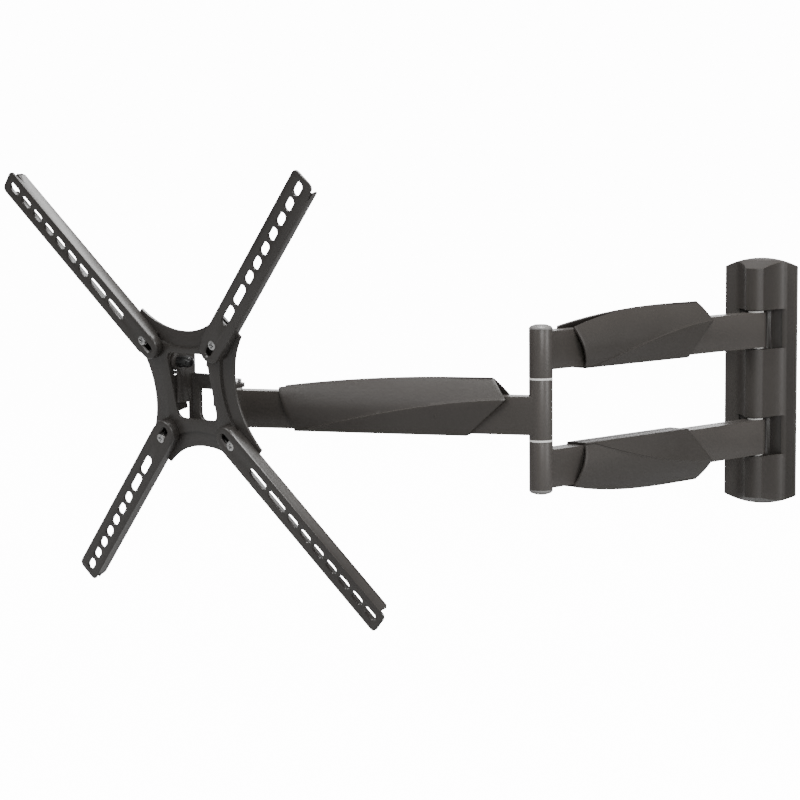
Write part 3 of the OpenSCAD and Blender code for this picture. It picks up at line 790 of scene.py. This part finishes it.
def makeChannel():
    half, front, cup = (channel[k] * mm for k in ("half", "front", "cupAt"))
    end, near = channel["end"] * mm, channel["near"] * mm
    flangeEnd = end - channel["flangeShort"] * mm
    startFresh()
    bpy.ops.mesh.primitive_circle_add(vertices=channel["cupSides"], radius=half, fill_type="NGON",
                                      location=(cup, 0, front))
    piece = bpy.context.object
    applyPlace()
    editPiece(piece)
    pick("verts", lambda at: at.x > cup + near)
    bpy.ops.transform.resize(value=(0, 1, 1), center_override=(cup, 0, front))
    bpy.ops.transform.translate(value=(end - cup, 0, 0))
    bpy.ops.mesh.select_all(action="SELECT")
    bpy.ops.mesh.dissolve_limited(angle_limit=math.radians(0.1))
    for cutAt in (cup + channel["cupRun"] * mm, flangeEnd):
        bpy.ops.mesh.select_all(action="SELECT")
        bpy.ops.mesh.bisect(plane_co=(cutAt, 0, front), plane_no=(1, 0, 0))
    # flanges: a shallow one round the cup, deeper ones along the sides
    pick("edges", lambda at, edge: edge.is_boundary and at.x < flangeEnd + near)
    extrudeDown(channel["cupBack"] * mm - front)
    sideStart, webUnder = cup + channel["sideFrom"] * mm, front - channel["belowWeb"] * mm
    pick("edges", lambda at, edge: edge.is_boundary and at.z < webUnder and at.x > sideStart)
    extrudeDown((channel["flangeBack"] - channel["cupBack"]) * mm)
    cupUnder = front - channel["belowCup"] * mm
    pick("verts", lambda at: at.x > flangeEnd - near and at.z < cupUnder)
    bpy.ops.transform.translate(value=(-channel["flangeLean"] * mm, 0, 0))
    pick("verts", lambda at: at.x > end - near)
    bpy.ops.mesh.bevel(offset=channel["endCorner"] * mm, segments=3, affect="VERTICES")

    def onBend(at, edge):
        if len(edge.link_faces) != 2 or abs(at.z - front) >= near:
            return False
        roundCup = at.y ** 2 + (at.x - cup) ** 2 > (half * channel["roundShare"]) ** 2
        return abs(at.y) > half - near or at.x < cup and roundCup

    pick("edges", onBend)
    bpy.ops.mesh.bevel(offset=channel["bend"] * mm, segments=4, affect="EDGES")
    bpy.ops.object.mode_set(mode="OBJECT")
    faceTowards(piece, Vector((0, 0, 1)))
    finishWith(piece, "SOLIDIFY", thickness=channel["steel"] * mm, offset=-1.0,
               use_even_offset=True)
    cutSlots(piece)
    mergeClose(piece, 0.02)
    soften(piece, channel["ease"])
    mergeClose(piece)
    editAll(piece)
    bpy.ops.mesh.fill_holes(sides=0)
    bpy.ops.object.mode_set(mode="OBJECT")
    return piece


def cutSlots(piece):
    wide = channel["slotWidth"] / 2
    for step in range(channel["shortSlots"]):
        middle = channel["outerSlot"] - step * channel["slotStep"]
        cutWith(piece, slotCutter(middle, channel["shortSlot"], wide))
    for middle in channel["longSlotsAt"]:
        cutWith(piece, slotCutter(middle, channel["longSlot"], wide))
    # the bolt's slot, countersunk along its whole length
    travel, radius = channel["travel"], channel["boltSlot"]
    middle = channel["boltAt"] - travel / 2
    cutWith(piece, slotCutter(middle, travel + 2 * radius, radius))
    cutWith(piece, sunkCutter(middle, travel, radius, channel["sunkRim"]))


def makeScreenArms():
    master = makeChannel()
    for side in corners:
        settle(copyPiece(master), "screenArm_" + side, diagonalFrame(side), "slide_" + side,
               "plateCoat", ("screen_arm_" + side,))
    bpy.data.objects.remove(master)


makeScreenArms()
print("screen arms made")

# the screws that hold the screen arms: countersunk heads with a cross recess

screw = {
    "shank": 3.0, "head": 4.6, "sides": 40, "flush": 0.1, "back": 6.7,
    "dome": 0.35, "domeRing": 1.1, "domeSteps": (0.4, 0.7), "ease": 0.15,
    "recess": (6.2, 1.5, 2.2), "recessTurn": 0.5,
}


def makeArmScrew():
    top = (channel["front"] - screw["flush"]) * mm
    deep = (screw["head"] - screw["shank"]) * mm
    startFresh()
    bpy.ops.mesh.primitive_cone_add(
        vertices=screw["sides"], radius1=screw["shank"] * mm, radius2=screw["head"] * mm,
        depth=deep, location=(channel["boltAt"] * mm, 0, top - deep / 2))
    piece = bpy.context.object
    applyPlace()
    editPiece(piece)
    pick("faces", lambda at, normal: normal.z < -0.9)
    extrudeDown(screw["back"] * mm - top + deep)
    pick("faces", lambda at, normal: normal.z > 0.9)
    for share in screw["domeSteps"]:
        bpy.ops.mesh.inset(thickness=screw["domeRing"] * mm)
        bpy.ops.transform.translate(value=(0, 0, screw["dome"] * mm * (1 - share)))
    bpy.ops.object.mode_set(mode="OBJECT")
    long, wide, deepCut = screw["recess"]
    for turn in (0, math.pi / 2):
        startFresh()
        bpy.ops.mesh.primitive_cube_add(size=1, location=(channel["boltAt"] * mm, 0, top),
                                        rotation=(0, 0, turn + screw["recessTurn"]))
        bar = bpy.context.object
        bar.scale = (long * mm, wide * mm, 2 * deepCut * mm)
        cutWith(piece, bar)
    soften(piece, screw["ease"])
    return piece


def placeArmScrews():
    master = makeArmScrew()
    for side in corners:
        settle(copyPiece(master), "armScrew_" + side, diagonalFrame(side), "tilt_plate", "zinc",
               ("arm_bolts",))
    bpy.data.objects.remove(master)


placeArmScrews()
print("arm screws made")

# pieces that keep the CAD node's own shape with eased edges: name, easing in mm, steps, finish

eased = {
    "wall_plate": ("wallPlate", 0.5, 2, "plateCoat"),
    "upper_bracket": ("upperBracket", 0.6, 2, "plateCoat"),
    "lower_bracket": ("lowerBracket", 0.6, 2, "plateCoat"),
    "wall_pins": ("wallPins", 0.5, 2, "darkScrew"),
    "wall_bushes": ("wallBushes", 0.25, 2, "nylon"),
    "upper_arm": ("upperArm", 0.9, 3, "armCoat"),
    "lower_arm": ("lowerArm", 0.9, 3, "armCoat"),
    "second_arm": ("secondArm", 0.9, 3, "armCoat"),
    "elbow_caps": ("elbowCaps", 0.5, 3, "capPlastic"),
    "elbow_bushes": ("elbowBushes", 0.6, 3, "nylon"),
    "head_bushes": ("headBushes", 0.3, 2, "nylon"),
    "head_yoke": ("headYoke", 0.9, 3, "plateCoat"),
    "head_pin": ("headPin", 0.6, 2, "zinc"),
    "head_nut": ("headNut", 0.5, 2, "zinc"),
    "centre_plate": ("centrePlate", 0.5, 3, "plateCoat"),
    "tilt_bolt": ("tiltBolt", 0.5, 2, "darkScrew"),
    "tilt_nut": ("tiltNut", 0.4, 2, "darkScrew"),
    "pivot_bolt": ("pivotBolt", 0.5, 2, "darkScrew"),
    "pivot_nut": ("pivotNut", 0.4, 2, "zinc"),
    "tilt_washers": ("tiltWashers", 0.2, 2, "nylon"),
}
bodies = frame["record"]["behaviour"]["bodies"]
bodyOf = {node: body for body, nodes in bodies.items() for node in nodes}
for node, (name, width, steps, finish) in eased.items():
    settle(softCopy(node, width, steps), name, asItIs, bodyOf[node], finish, (node,))
print("eased pieces made:", len(eased))

# inner pieces whose CAD shape is already right

plain = {
    "wall_clips": "rawSteel", "elbow_shaft": "zinc", "stop_pins": "zinc", "arm_spacers": "rawSteel",
}
for node, finish in plain.items():
    piece = frame["nodes"][node]
    piece.data.materials.clear()
    piece.data.materials.append(paints[finish])
print("inner pieces finished:", len(plain))

makeCamera()
makeRoom()
print("camera and room ready")
